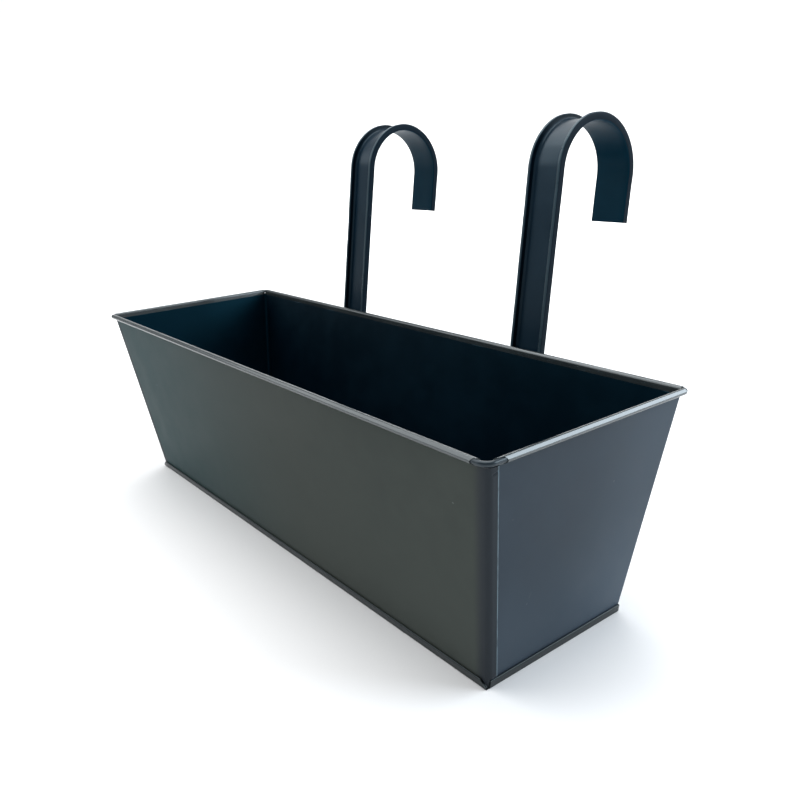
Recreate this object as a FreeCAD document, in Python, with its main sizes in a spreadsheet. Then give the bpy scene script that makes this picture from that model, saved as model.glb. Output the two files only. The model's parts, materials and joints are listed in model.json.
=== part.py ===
import FreeCAD, Part
import Sketcher
import math
import os

# Window box planter with two over-the-rail hooks, in millimetres.
# X runs along the box, -Y is the front, +Y the back with the hooks, +Z up.
# Origin: centre of the flat foot of the box, on the surface it stands on.

V = FreeCAD.Vector
doc = FreeCAD.newDocument("window_box")

# ---------------------------------------------------------------- dimensions
dims = doc.addObject("Spreadsheet::Sheet", "dims")
dims.Label = "dims"
VALUES = [
    ("rim_length", 450.0),      # over the beads, along X
    ("rim_width", 150.0),       # over the beads, along Y
    ("box_height", 136.5),      # foot to top of bead
    ("foot_length", 402.6),     # outer sheet faces at z = 0, along X
    ("foot_width", 105.9),      # outer sheet faces at z = 0, along Y
    ("sheet", 0.4),             # sheet thickness, measured level
    ("fold_gap", 0.04),         # air between folded layers
    ("wire_dia", 2.8),          # steel wire in the rim
    ("wire_gap", 0.05),         # air between the wire and the curl
    ("wire_bend", 2.4),         # centre line radius of the wire at a corner
    ("wire_bend_near", 5.0),    # the same at the front right corner
    ("wire_butt", 0.3),         # half the gap where the wire's ends meet
    ("curl_wrap", 292.0),       # degrees of sheet round the wire
    ("long_curl_far", 220.6),   # reach of the curl on a long side
    ("short_curl_far", 70.6),   # the same on a short side
    ("long_curl_end", 217.9),   # reach at the front right corner, snipped back
    ("long_curl_clip", 214.2),  # the same at the outer face of the bead
    ("short_curl_end", 67.9),
    ("short_curl_clip", 61.2),
    ("corner_bend", 3.0),       # outer radius of a corner bend
    ("seam_width", 6.6),        # corner seam, from the corner to its folded edge
    ("seam_top", 131.0),        # top of the corner seam
    ("notch_top", 132.3),       # top of the sheet beneath the bare wire
    ("seam_foot", 0.6),         # lowest level of the corner seam
    ("band_height", 5.0),       # height of the foot seam
    ("foot_bend", 0.8),         # outer radius under the foot seam
    ("drain_dia", 8.0),         # drain hole
    ("drain_pitch", 90.0),      # between drain holes
    ("hook_width", 26.0),
    ("hook_sheet", 1.2),
    ("hook_lip", 2.4),          # thickness of the hemmed lips
    ("hook_depth", 5.0),        # web and lip together
    ("hook_bend", 31.0),        # inner radius of the half circle
    ("hook_centre", 241.4),     # level of the centre of the half circle
    ("hook_tail", 29.4),        # straight part behind the rail
    ("hook_left", -85.5),
    ("hook_right", 105.0),
    ("hook_clear", 0.8),        # air between the lips and the bead
    ("hook_foot", 15.0),        # lower end, measured up the back sheet
    ("hook_joggle", 64.0),      # start of the joggle, measured up the back sheet
    ("joggle_run", 16.0),
    ("lip_start", 84.0),        # where the edge lips begin
    ("rivet_dia", 4.0),
    ("rivet_head", 7.5),
    ("rivet_low", 26.0),        # measured up the back sheet
    ("rivet_high", 50.0),
]
for row, (alias, value) in enumerate(VALUES, 1):
    dims.set("A%d" % row, alias)
    dims.set("B%d" % row, repr(value))
    dims.setAlias("B%d" % row, alias)
doc.recompute()
D = dict((alias, float(dims.get(alias))) for alias, _ in VALUES)

T = D["sheet"]
G = D["fold_gap"]
WR = D["wire_dia"] / 2.0 + D["wire_gap"]        # inner radius of the curl
BEAD = WR + T                                   # outer radius of the bead
RF = (2 * G + T) / 2.0                          # inner radius of a folded edge
RO = RF + T                                     # outer radius of a folded edge
NOUT = 3 * G + 3 * T                            # outermost face of a four-layer seam


class Wall(object):
    """One sloping side: 'base' is the level distance of its outer face from
    the centre plane at z = 0, 'rim' the same for the outer face of the bead."""

    def __init__(self, base, rim):
        self.base = base
        zc = D["box_height"] - BEAD
        uc = rim - BEAD
        slope = 0.0
        for _ in range(30):
            ang = math.atan(slope)
            slope = (uc - WR / math.cos(ang) - base) / zc
        self.k = slope
        self.ang = math.atan(slope)
        self.c = math.cos(self.ang)
        self.s = math.sin(self.ang)
        self.bead_u = uc
        self.bead_z = zc
        # bead centre in the wall's own frame (n outward, w up the wall)
        self.bead_n = (uc - base) * self.c - zc * self.s
        self.bead_w = (uc - base) * self.s + zc * self.c

    def pt(self, n, w):
        return (self.base + n * self.c + w * self.s, -n * self.s + w * self.c)

    def u(self, z):
        return self.base + self.k * z


LONG = Wall(D["foot_width"] / 2.0, D["rim_width"] / 2.0)
SHORT = Wall(D["foot_length"] / 2.0, D["rim_length"] / 2.0)


# ------------------------------------------------------------ profile helpers
def arc_pt(c, r, a):
    return (c[0] + r * math.cos(math.radians(a)), c[1] + r * math.sin(math.radians(a)))


def offset_seg(seg, d):
    """Segment moved by d to the left of its direction of travel."""
    if seg[0] == "L":
        (x0, y0), (x1, y1) = seg[1], seg[2]
        ln = math.hypot(x1 - x0, y1 - y0)
        nx, ny = -(y1 - y0) / ln, (x1 - x0) / ln
        return ("L", (x0 + nx * d, y0 + ny * d), (x1 + nx * d, y1 + ny * d))
    _, c, r, a0, a1 = seg
    return ("A", c, r - d if a1 > a0 else r + d, a0, a1)


def ends(seg):
    if seg[0] == "L":
        return seg[1], seg[2]
    return arc_pt(seg[1], seg[2], seg[3]), arc_pt(seg[1], seg[2], seg[4])


def band(path, d0, d1):
    """Closed outline of the strip between two offsets of a path."""
    a = [offset_seg(s, d0) for s in path]
    b = [offset_seg(s, d1) for s in reversed(path)]
    rev = []
    for s in b:
        if s[0] == "L":
            rev.append(("L", s[2], s[1]))
        else:
            rev.append(("A", s[1], s[2], s[4], s[3]))
    return a + [("L", ends(a[-1])[1], ends(rev[0])[0])] + rev + [("L", ends(rev[-1])[1], ends(a[0])[0])]


def polygon(pts):
    return [("L", pts[i], pts[(i + 1) % len(pts)]) for i in range(len(pts))]


def plane(body, role):
    for o in body.Origin.OriginFeatures:
        if o.Role == role:
            return o


def sketch(body, name, role, segs, tf, level=None, flip=False):
    """Sketch on an origin plane; tf maps profile coordinates to the sketch's."""
    sk = body.newObject("Sketcher::SketchObject", name)
    sk.AttachmentSupport = (plane(body, role), [""])
    sk.MapMode = "FlatFace"
    if level is not None:
        if isinstance(level, str):
            sk.setExpression("AttachmentOffset.Base.z", level)
        else:
            sk.AttachmentOffset = FreeCAD.Placement(V(0, 0, level), FreeCAD.Rotation())
    geo = []
    for s in segs:
        if s[0] == "L":
            a, b = tf(s[1]), tf(s[2])
            geo.append(Part.LineSegment(V(a[0], a[1], 0), V(b[0], b[1], 0)))
        elif s[0] == "C":
            a = tf(s[1])
            geo.append(Part.Circle(V(a[0], a[1], 0), V(0, 0, 1), s[2]))
        else:
            p0 = tf(arc_pt(s[1], s[2], s[3]))
            pm = tf(arc_pt(s[1], s[2], 0.5 * (s[3] + s[4])))
            p1 = tf(arc_pt(s[1], s[2], s[4]))
            geo.append(Part.Arc(V(p0[0], p0[1], 0), V(pm[0], pm[1], 0), V(p1[0], p1[1], 0)))
    sk.addGeometry(geo, False)
    return sk


def pad(body, name, sk, length, both=False, direction=None, reverse=False):
    p = body.newObject("PartDesign::Pad", name)
    p.Profile = sk
    p.Type = "Length"
    if both:
        p.SideType = "Symmetric"
    if isinstance(length, str):
        p.setExpression("Length", length)
    else:
        p.Length = length
    if direction is not None:
        p.UseCustomVector = True
        p.AlongSketchNormal = True
        p.Direction = V(*direction)
    if reverse:
        p.Reversed = True
    sk.Visibility = False
    return p


def pocket(body, name, sk, length, both=False, reverse=False):
    p = body.newObject("PartDesign::Pocket", name)
    p.Profile = sk
    p.Type = "Length"
    if both:
        p.SideType = "Symmetric"
    if isinstance(length, str):
        p.setExpression("Length", length)
    else:
        p.Length = length
    if reverse:
        p.Reversed = True
    return p


def mirrored(body, name, feats, role):
    m = body.newObject("PartDesign::Mirrored", name)
    m.Originals = feats
    m.MirrorPlane = (plane(body, role), [""])
    body.Tip = m
    return m


def new_body(label):
    b = doc.addObject("PartDesign::Body", label)
    b.Label = label
    return b


NODES = []


# --------------------------------------------------------------- side panels
def wall_profiles(wall, top_z):
    """Sloping sheet, curl round the wire and the fold into the foot seam."""
    wf = (T + G + RO + RF * wall.s) / wall.c            # centre of the foot fold
    z_lo = wall.pt(0, wf + 0.6)[1]
    slab = [(wall.u(z_lo) - T, z_lo), (wall.u(z_lo), z_lo),
            (wall.u(top_z), top_z), (wall.u(top_z) - T, top_z)]
    tp = T * wall.c
    a_end = 180.0 - D["curl_wrap"]
    curl = band([("L", (0.0, wall.bead_w - 3.0), (0.0, wall.bead_w)),
                 ("A", (wall.bead_n, wall.bead_w), wall.bead_n, 180.0, a_end)], 0.0, tp)
    up = (D["band_height"] - RO - 0.15) / wall.c
    fold = band([("L", (0.0, wf + 1.2), (0.0, wf)),
                 ("A", (RF, wf), RF, 180.0, 360.0),
                 ("L", (2 * RF, wf), (2 * RF, up))], 0.0, -tp)
    return slab, curl, fold, wf


def side_panel(label, run, sc):
    """One side sheet. 'run' is the axis it runs along, 'sc' the side of the
    centre it stands on. At the front corners the long sheet wraps round the end
    sheet, at the back corners the end sheet wraps round the long one. A sheet
    that wraps carries the bend and the lock flange; the other is folded into it."""
    b = new_body(label)
    lengthwise = run == "X"
    own, other = (LONG, SHORT) if lengthwise else (SHORT, LONG)
    profile_plane, edge_plane = ("YZ_Plane", "XZ_Plane") if lengthwise else ("XZ_Plane", "YZ_Plane")
    end, clip, far = [D[("long_" if lengthwise else "short_") + q] for q in ("curl_end", "curl_clip", "curl_far")]
    side = lambda q: (sc * q[0], q[1])
    loc = lambda q: side(own.pt(q[0], q[1]))
    pb = D["corner_bend"] + 0.45                        # centre of the receiving edge fold
    z0, z1, z2 = D["seam_foot"], D["seam_top"], D["notch_top"]
    slab, curl, fold, wf = wall_profiles(own, own.bead_z - 1.0)
    z_lo = slab[0][1]

    corners = []
    for sa in (1, -1):
        ys, xs = (sc, sa) if lengthwise else (sa, sc)
        name = ("front" if ys < 0 else "back") + ("_r" if xs > 0 else "_l")
        corners.append((sa, name, lengthwise == (ys < 0), ys < 0 and xs > 0))

    s1 = sketch(b, label + "_sheet_sk", profile_plane, polygon(slab), side)
    pad(b, label + "_sheet", s1, 2 * other.u(z2) + 8.0, both=True)
    lim = other.u(z2) + 16.0
    for sa, name, wraps, near in corners:
        # sloping upright edges, and the notch beneath the bare wire
        back = D["corner_bend"] - NOUT if wraps else pb + 2.0
        x_lo, x_hi = other.u(z_lo - 1.0) - back, other.u(z2) - back
        top = [(end if near else far, 140.0), (end if near else far, z2)] if wraps else \
              [(x_hi + (140.0 - z2) * other.k, 140.0)]
        quad = [(x_lo, z_lo - 1.0), (lim, z_lo - 1.0), (lim, 140.0)] + top + [(x_hi, z2)]
        sk = sketch(b, label + "_edge_sk_" + name, edge_plane, polygon([(sa * q[0], q[1]) for q in quad]), lambda q: q)
        pocket(b, label + "_edge_" + name, sk, 600.0, both=True)

    # curl and foot fold, each shorter than the sheet
    reach = dict((sa, end if near else far) for sa, _, _, near in corners)
    s2 = sketch(b, label + "_curl_sk", profile_plane, curl, loc, level=(-1 if lengthwise else 1) * reach[-1])
    pad(b, label + "_curl", s2, reach[1] + reach[-1], reverse=not lengthwise)
    s3 = sketch(b, label + "_fold_sk", profile_plane, fold, loc)
    pad(b, label + "_fold", s3, "dims.foot_length - 18" if lengthwise else "dims.foot_width - 19", both=True)

    flat = (lambda q: (q[0], q[1])) if lengthwise else (lambda q: (q[1], q[0]))
    uo, ui = own.bead_u + BEAD + 0.6, own.bead_u - WR - T - 0.6
    for sa, name, wraps, near in corners:
        if near:
            # the curl is snipped at a slant so the wire can turn the corner
            step = (1.6, 0.5, 0.2) if lengthwise else (end - clip - 2.2, 0.6, 0.3)
            cut = [(clip, uo), (lim, uo), (lim, ui), (end, ui), (end, own.bead_u - step[1]),
                   (end - step[0], own.bead_u + step[2])]
            sk = sketch(b, label + "_snip_sk", "XY_Plane", polygon([(sa * q[0], sc * q[1]) for q in cut]),
                        flat, level="dims.notch_top")
            pocket(b, label + "_snip", sk, 6.0, reverse=True)
        elif not wraps:
            # relief under the curl, over the other sheet's bend
            cut = [(end, 128.0), (lim, 128.0), (lim, z2 + 0.1), (end, z2 + 0.1)]
            sk = sketch(b, label + "_relief_sk_" + name, edge_plane, polygon([(sa * q[0], q[1]) for q in cut]), lambda q: q)
            pocket(b, label + "_relief_" + name, sk, 600.0, both=True)

    # corner seams
    for sa, name, wraps, near in corners:
        slope = (sa * SHORT.k, sc * LONG.k, 1.0) if lengthwise else (sc * SHORT.k, sa * LONG.k, 1.0)

        def place(z):
            if wraps:       # (outward of the other sheet, in from the own face)
                return lambda q: flat((sa * (other.u(z) + q[0]), sc * (own.u(z) - q[1])))
            return lambda q: flat((sa * (other.u(z) - q[1]), sc * (own.u(z) + q[0])))

        if wraps:
            cx = NOUT - D["corner_bend"]
            low = [("L", (cx - 1.5, 0.0), (cx, 0.0)),
                   ("A", (cx, D["corner_bend"]), D["corner_bend"], -90.0, 0.0),
                   ("L", (NOUT, D["corner_bend"]), (NOUT, D["seam_width"] - RO)),
                   ("A", (NOUT - RO, D["seam_width"] - RO), RO, 0.0, 180.0),
                   ("L", (G, D["seam_width"] - RO), (G, D["corner_bend"] + 0.7))]
            high, thick, foot, length = low[:2], T, z0, "dims.seam_top - dims.seam_foot"
        else:
            low = [("L", (0.0, pb + 4.0), (0.0, pb)),
                   ("A", (RF, pb), RF, 180.0, 360.0),
                   ("L", (2 * RF, pb), (2 * RF, D["seam_width"] - RO - 0.2))]
            high, thick, foot, length = low[:1], -T, z0 + 0.3, "dims.seam_top - dims.seam_foot - 0.3"
        sk = sketch(b, label + "_seam_sk_" + name, "XY_Plane", band(low, 0.0, thick), place(foot), level=foot)
        pad(b, label + "_seam_" + name, sk, length, direction=slope)
        sk = sketch(b, label + "_neck_sk_" + name, "XY_Plane", band(high, 0.0, thick), place(z1 - 0.5), level=z1 - 0.5)
        pad(b, label + "_neck_" + name, sk, z2 - z1 + 0.5, direction=slope)
    return b


front_panel = side_panel("front_panel", "X", -1)
back_panel = side_panel("back_panel", "X", 1)
right_end_panel = side_panel("right_end_panel", "Y", 1)
left_end_panel = side_panel("left_end_panel", "Y", -1)


# ---------------------------------------------------------------- bottom pan
def pan_flange(wall):
    """Upturned edge of the pan with its top folded in, over the sheet's fold."""
    rb = D["foot_bend"]
    tp = T * wall.c
    no = G + G + G + T * wall.c * 3 + 0.0
    wcb = (rb + (no - rb) * wall.s) / wall.c
    cb = wall.pt(no - rb, wcb)
    a = -math.degrees(wall.ang)
    n_top = no - (RF + tp)
    wt = (D["band_height"] - (RF + tp) + n_top * wall.s) / wall.c
    ct = wall.pt(n_top, wt)
    lo = arc_pt(cb, rb, a)
    hi = arc_pt(ct, RF + tp, a)
    r_top = RF + tp
    dn = arc_pt(ct, r_top, a + 180.0)
    wf = (T + G + RO + RF * wall.s) / wall.c
    end = wall.pt(n_top - r_top, wf + 0.25)
    return [("L", (wall.base - 6.0, 0.0), (cb[0], 0.0)),
            ("A", cb, rb, -90.0, a),
            ("L", lo, hi),
            ("A", ct, r_top, a, a + 180.0),
            ("L", dn, end)]


bottom_pan = new_body("bottom_pan")
fx, fy = D["foot_length"] / 2.0, D["foot_width"] / 2.0
floor = [(-fx - 0.3, -fy - 0.3), (fx + 0.3, -fy - 0.3), (fx + 0.3, fy - 0.7), (fx - 0.9, fy + 0.3),
         (-fx + 0.9, fy + 0.3), (-fx - 0.3, fy - 0.7)]
sk = sketch(bottom_pan, "pan_floor_sk", "XY_Plane", polygon(floor), lambda q: q)
pad(bottom_pan, "pan_floor", sk, "dims.sheet")
fl_long = band(pan_flange(LONG), 0.0, T * LONG.c)
fl_short = band(pan_flange(SHORT), 0.0, T * SHORT.c)
sk = sketch(bottom_pan, "pan_front_sk", "YZ_Plane", fl_long, lambda q: (-q[0], q[1]))
pad(bottom_pan, "pan_front", sk, "dims.foot_length + 1.6", both=True)
sk = sketch(bottom_pan, "pan_back_sk", "YZ_Plane", fl_long, lambda q: q)
pad(bottom_pan, "pan_back", sk, "dims.foot_length - 2 * dims.seam_width - 1.0", both=True)
# the end flanges run from the front seam to the back corner
y_front = fy - D["seam_width"] - 0.5
sk = sketch(bottom_pan, "pan_right_sk", "XZ_Plane", fl_short, lambda q: q, level=y_front)
pr = pad(bottom_pan, "pan_right", sk, y_front + fy - 0.8, reverse=True)
mirrored(bottom_pan, "pan_left", [pr], "YZ_Plane")
# the front flange runs down to nothing at the corners
for k, sg in (("r", 1), ("l", -1)):
    tri = [(sg * (fx - 4.5), 6.5), (sg * (fx + 1.4), 0.9), (sg * (fx + 3.0), 0.9), (sg * (fx + 3.0), 6.5)]
    sk = sketch(bottom_pan, "pan_clip_sk_" + k, "XZ_Plane", polygon(tri), lambda q: q, level=fy + 4.0)
    pocket(bottom_pan, "pan_clip_" + k, sk, 3.98)
# drain holes
sk = sketch(bottom_pan, "drain_sk", "XY_Plane",
            [("C", (i * D["drain_pitch"], 0.0), D["drain_dia"] / 2.0) for i in (-1.5, -0.5, 0.5, 1.5)], lambda q: q, level=-1.0)
for i in range(4):
    c = sk.addConstraint(Sketcher.Constraint("Radius", i, D["drain_dia"] / 2.0))
    sk.setExpression("Constraints[%d]" % c, "dims.drain_dia / 2")
pocket(bottom_pan, "drain_holes", sk, 5.0, reverse=True)

# ------------------------------------------------------------------ rim wire
# one closed round of wire, its ends meeting behind the middle of the back
rim_wire = new_body("rim_wire")
xw, yw, rw, rn = SHORT.bead_u, LONG.bead_u, D["wire_bend"], D["wire_bend_near"]
zw = D["box_height"] - BEAD
gap = D["wire_butt"]
route = [("L", (gap, yw), (xw - rw, yw)), ("A", (xw - rw, yw - rw), rw, 90.0, 0.0),
         ("L", (xw, yw - rw), (xw, -yw + rn)), ("A", (xw - rn, -yw + rn), rn, 0.0, -90.0),
         ("L", (xw - rn, -yw), (-xw + rw, -yw)), ("A", (-xw + rw, -yw + rw), rw, -90.0, -180.0),
         ("L", (-xw, -yw + rw), (-xw, yw - rw)), ("A", (-xw + rw, yw - rw), rw, 180.0, 90.0),
         ("L", (-xw + rw, yw), (-gap, yw))]
spine = sketch(rim_wire, "wire_route", "XY_Plane", route, lambda q: q, level=zw)
section = sketch(rim_wire, "wire_section", "YZ_Plane", [("C", (yw, zw), D["wire_dia"] / 2.0)], lambda q: q,
                 level="dims.wire_butt")
c = section.addConstraint(Sketcher.Constraint("Radius", 0, D["wire_dia"] / 2.0))
section.setExpression("Constraints[%d]" % c, "dims.wire_dia / 2")
sweep = rim_wire.newObject("PartDesign::AdditivePipe", "wire_sweep")
sweep.Profile = section
sweep.Spine = (spine, [])
sweep.Mode = "Standard"


# --------------------------------------------------------------------- hooks
def hook_path():
    """Reference line of the hook in the back sheet's own frame: the face of
    the web that lies on the sheet, then round the rail and down behind it."""
    t = D["hook_sheet"]
    d = LONG.bead_n + BEAD + D["hook_clear"]            # front edge of the lips
    n1 = d + D["hook_depth"] - t                        # web face towards the sheet
    j0, j1 = D["hook_joggle"], D["hook_joggle"] + D["joggle_run"]
    rin = D["hook_bend"]
    rc = rin + t
    nc = n1 + rc
    wc = (D["hook_centre"] + nc * LONG.s) / LONG.c
    # joggle: two arcs of the same radius tangent to both legs
    dn, dw = n1, j1 - j0
    rj = (dn * dn + dw * dw) / (4.0 * dn)
    aj = math.degrees(math.asin(dw / 2.0 / rj))
    return dict(t=t, d=d, n1=n1, j0=j0, j1=j1, rin=rin, rc=rc, nc=nc, wc=wc, rj=rj, aj=aj)


HP = hook_path()


def make_hook(label, where):
    b = new_body(label)
    b.setExpression("Placement.Base.x", where)
    loc = lambda q: LONG.pt(q[0], q[1])
    h = HP
    t = h["t"]
    # web: the reference line is its face towards the sheet (left of travel)
    web = [("L", (0.0, D["hook_foot"]), (0.0, h["j0"])),
           ("A", (h["rj"], h["j0"]), h["rj"], 180.0, 180.0 - h["aj"]),
           ("A", (h["n1"] - h["rj"], h["j1"]), h["rj"], -h["aj"], 0.0),
           ("L", (h["n1"], h["j1"]), (h["n1"], h["wc"])),
           ("A", (h["nc"], h["wc"]), h["rc"], 180.0, 0.0),
           ("L", (h["nc"] + h["rc"], h["wc"]), (h["nc"] + h["rc"], h["wc"] - D["hook_tail"]))]
    sk = sketch(b, label + "_web_sk", "YZ_Plane", band(web, 0.0, -t), loc)
    pad(b, label + "_web", sk, "dims.hook_width", both=True)
    # lips along both edges, on the outer side of the bend
    lip = [("L", (h["n1"], D["lip_start"]), (h["n1"], h["wc"])),
           ("A", (h["nc"], h["wc"]), h["rc"], 180.0, 0.0),
           ("L", (h["nc"] + h["rc"], h["wc"]), (h["nc"] + h["rc"], h["wc"] - D["hook_tail"]))]
    reach = D["hook_depth"] - t
    sk = sketch(b, label + "_lip_sk", "YZ_Plane", band(lip, -0.4, reach), loc,
                level="dims.hook_width / 2 - dims.hook_lip")
    lp = pad(b, label + "_lip", sk, "dims.hook_lip")
    mirrored(b, label + "_lips", [lp], "YZ_Plane")
    # the lips rise at a slant from the flat leg
    a0 = LONG.pt(h["d"] - 0.6, D["lip_start"] - 0.6)
    a1 = LONG.pt(h["n1"] + 0.0, D["lip_start"] - 0.6)
    a2 = LONG.pt(h["d"] - 0.6, D["lip_start"] + 6.0)
    sk = sketch(b, label + "_ramp_sk", "YZ_Plane", polygon([a0, a1, a2]), lambda q: q)
    pocket(b, label + "_ramp", sk, 60.0, both=True)
    doc.recompute()
    # rivet holes, square to the leg
    for k, wv in (("low", "rivet_low"), ("high", "rivet_high")):
        c0 = LONG.pt(0.0, D[wv])
        sk = b.newObject("Sketcher::SketchObject", label + "_hole_sk_" + k)
        sk.AttachmentSupport = (plane(b, "XZ_Plane"), [""])
        sk.MapMode = "FlatFace"
        sk.AttachmentOffset = FreeCAD.Placement(V(0, c0[1], -c0[0]), FreeCAD.Rotation(V(1, 0, 0), -math.degrees(LONG.ang)))
        sk.addGeometry([Part.Circle(V(0, 0, 0), V(0, 0, 1), D["rivet_dia"] / 2.0 + 0.05)], False)
        c = sk.addConstraint(Sketcher.Constraint("Radius", 0, D["rivet_dia"] / 2.0 + 0.05))
        sk.setExpression("Constraints[%d]" % c, "dims.rivet_dia / 2 + 0.05")
        pocket(b, label + "_hole_" + k, sk, 8.0, both=True)
    return b


left_hook = make_hook("left_hook", "dims.hook_left")
right_hook = make_hook("right_hook", "dims.hook_right")
doc.recompute()

# rivet holes through the back sheet
for kh, xh in (("l", D["hook_left"]), ("r", D["hook_right"])):
    for k, wv in (("low", "rivet_low"), ("high", "rivet_high")):
        c0 = LONG.pt(0.0, D[wv])
        sk = back_panel.newObject("Sketcher::SketchObject", "back_hole_sk_" + kh + k)
        sk.AttachmentSupport = (plane(back_panel, "XZ_Plane"), [""])
        sk.MapMode = "FlatFace"
        sk.AttachmentOffset = FreeCAD.Placement(V(xh, c0[1], -c0[0]), FreeCAD.Rotation(V(1, 0, 0), -math.degrees(LONG.ang)))
        sk.addGeometry([Part.Circle(V(0, 0, 0), V(0, 0, 1), D["rivet_dia"] / 2.0 + 0.05)], False)
        c = sk.addConstraint(Sketcher.Constraint("Radius", 0, D["rivet_dia"] / 2.0 + 0.05))
        sk.setExpression("Constraints[%d]" % c, "dims.rivet_dia / 2 + 0.05")
        pocket(back_panel, "back_hole_" + kh + k, sk, 6.0, both=True)
doc.recompute()

# -------------------------------------------------------------------- rivets
# four alike: low dome outside, flat closing head inside the box
TPL = T * LONG.c
grip = HP["t"] + TPL
rivet_shapes = []
rh, rs = D["rivet_head"] / 2.0, D["rivet_dia"] / 2.0


def rivet_feature(name, x, w):
    """Turned profile about its own axis, then laid square to the back sheet."""
    head = doc.addObject("PartDesign::Body", name)
    pts = [(0.0, 0.0), (rh * 0.9, 0.0), (rh * 0.9, 0.7), (rs, 0.7), (rs, 0.7 + grip), (rh, 0.7 + grip)]
    z_rim = 0.7 + grip + 0.35
    crown = 0.95
    rad = (rh * rh + crown * crown) / (2.0 * crown)
    cz = z_rim + crown - rad
    a = math.degrees(math.asin((z_rim - cz) / rad))
    segs = [("L", pts[i], pts[i + 1]) for i in range(5)]
    segs.append(("L", pts[5], (rh, z_rim)))
    segs.append(("A", (0.0, cz), rad, a, 90.0))
    segs.append(("L", (0.0, z_rim + crown), (0.0, 0.0)))
    sk = sketch(head, name + "_sk", "XZ_Plane", segs, lambda q: q)
    rev = head.newObject("PartDesign::Revolution", name + "_turn")
    rev.Profile = sk
    rev.ReferenceAxis = (sk, ["V_Axis"])
    rev.Angle = 360.0
    p = LONG.pt(-TPL - 0.7, w)
    head.Placement = FreeCAD.Placement(V(x, p[0], p[1]),
                                       FreeCAD.Rotation(V(0, 0, 1), V(0, LONG.c, -LONG.s)))
    return head


rivets = []
for kh, xh in (("left", D["hook_left"]), ("right", D["hook_right"])):
    for k in ("low", "high"):
        rivets.append(rivet_feature("rivet_%s_%s" % (kh, k), xh, D["rivet_" + k]))
doc.recompute()
hook_rivets = doc.addObject("Part::Compound", "hook_rivets")
hook_rivets.Label = "hook_rivets"
hook_rivets.Links = rivets

doc.recompute()

# -------------------------------------------------------------------- output
PARTS = [front_panel, back_panel, left_end_panel, right_end_panel, bottom_pan,
         rim_wire, left_hook, right_hook, hook_rivets]
bad = []
for o in doc.Objects:
    if "Invalid" in o.State or "Error" in o.State:
        bad.append("%s: %s" % (o.Name, o.State))
for o in PARTS:
    sh = o.Shape
    if sh.isNull() or not sh.isValid():
        bad.append("%s: shape null or not valid" % o.Label)
    want = 4 if o is hook_rivets else 1
    if not sh.isNull() and len(sh.Solids) != want:
        bad.append("%s: %d solids" % (o.Label, len(sh.Solids)))
if bad:
    raise RuntimeError("; ".join(bad))

os.makedirs("parts", exist_ok=True)
for o in PARTS:
    bb = o.Shape.BoundBox
    print("%-16s vol %10.1f  x %.2f..%.2f  y %.2f..%.2f  z %.2f..%.2f" % (
        o.Label, o.Shape.Volume, bb.XMin, bb.XMax, bb.YMin, bb.YMax, bb.ZMin, bb.ZMax))
    o.Shape.exportStep("parts/%s.step" % o.Label)
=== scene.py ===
import bpy
import bmesh
import json
import math
from mathutils import Vector, Matrix, noise

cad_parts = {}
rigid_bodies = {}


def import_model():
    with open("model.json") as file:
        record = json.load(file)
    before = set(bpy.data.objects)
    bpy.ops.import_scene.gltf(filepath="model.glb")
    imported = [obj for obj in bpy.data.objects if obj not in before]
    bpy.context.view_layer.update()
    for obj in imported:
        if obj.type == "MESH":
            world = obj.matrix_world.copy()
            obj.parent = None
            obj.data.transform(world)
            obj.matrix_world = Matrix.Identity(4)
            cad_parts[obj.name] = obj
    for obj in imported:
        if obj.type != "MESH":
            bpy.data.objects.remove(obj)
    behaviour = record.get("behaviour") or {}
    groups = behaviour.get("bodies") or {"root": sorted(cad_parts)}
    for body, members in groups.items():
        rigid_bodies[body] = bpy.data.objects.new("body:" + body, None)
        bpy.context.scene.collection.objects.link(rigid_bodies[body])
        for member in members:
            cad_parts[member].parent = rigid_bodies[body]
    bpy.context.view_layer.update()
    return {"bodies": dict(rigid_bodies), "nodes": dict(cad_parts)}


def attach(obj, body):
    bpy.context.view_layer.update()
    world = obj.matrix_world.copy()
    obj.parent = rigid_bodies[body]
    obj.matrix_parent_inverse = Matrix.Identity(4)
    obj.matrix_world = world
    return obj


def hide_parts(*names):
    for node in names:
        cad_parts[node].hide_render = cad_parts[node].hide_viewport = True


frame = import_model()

# ------------------------------------------------------------------ the box
# Sizes in millimetres, the same as the model's. Meshes are made in metres.
RIM_L, RIM_W, BOX_H = 450.0, 150.0, 136.5
FOOT_L, FOOT_W = 402.6, 105.9
T, G = 0.4, 0.04
WIRE_R = 1.4
WR = WIRE_R + 0.05
BEAD = WR + T
RF = (2 * G + T) / 2.0
RO = RF + T
NOUT = 3 * G + 3 * T
BEND, SEAM_W = 3.0, 6.6
SEAM_TOP, NOTCH, SEAM_FOOT, BAND_H = 132.2, 132.3, 0.6, 5.0


class Wall(object):
    def __init__(self, base, rim):
        self.base = base
        zc = BOX_H - BEAD
        uc = rim - BEAD
        k = 0.0
        for _ in range(30):
            a = math.atan(k)
            k = (uc - WR / math.cos(a) - base) / zc
        self.k, self.ang = k, math.atan(k)
        self.c, self.s = math.cos(self.ang), math.sin(self.ang)
        self.bead_u, self.bead_z = uc, zc
        self.bead_n = (uc - base) * self.c - zc * self.s
        self.bead_w = (uc - base) * self.s + zc * self.c

    def pt(self, n, w):
        return (self.base + n * self.c + w * self.s, -n * self.s + w * self.c)

    def u(self, z):
        return self.base + self.k * z


LONG = Wall(FOOT_W / 2.0, RIM_W / 2.0)
SHORT = Wall(FOOT_L / 2.0, RIM_L / 2.0)


# ------------------------------------------------------------- mesh helpers
def smooth01(t):
    t = max(0.0, min(1.0, t))
    return t * t * (3 - 2 * t)


def nz(x, y, z, seed=0.0):
    return noise.noise(Vector((x + seed * 13.7, y - seed * 7.3, z + seed * 3.1)))


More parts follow.
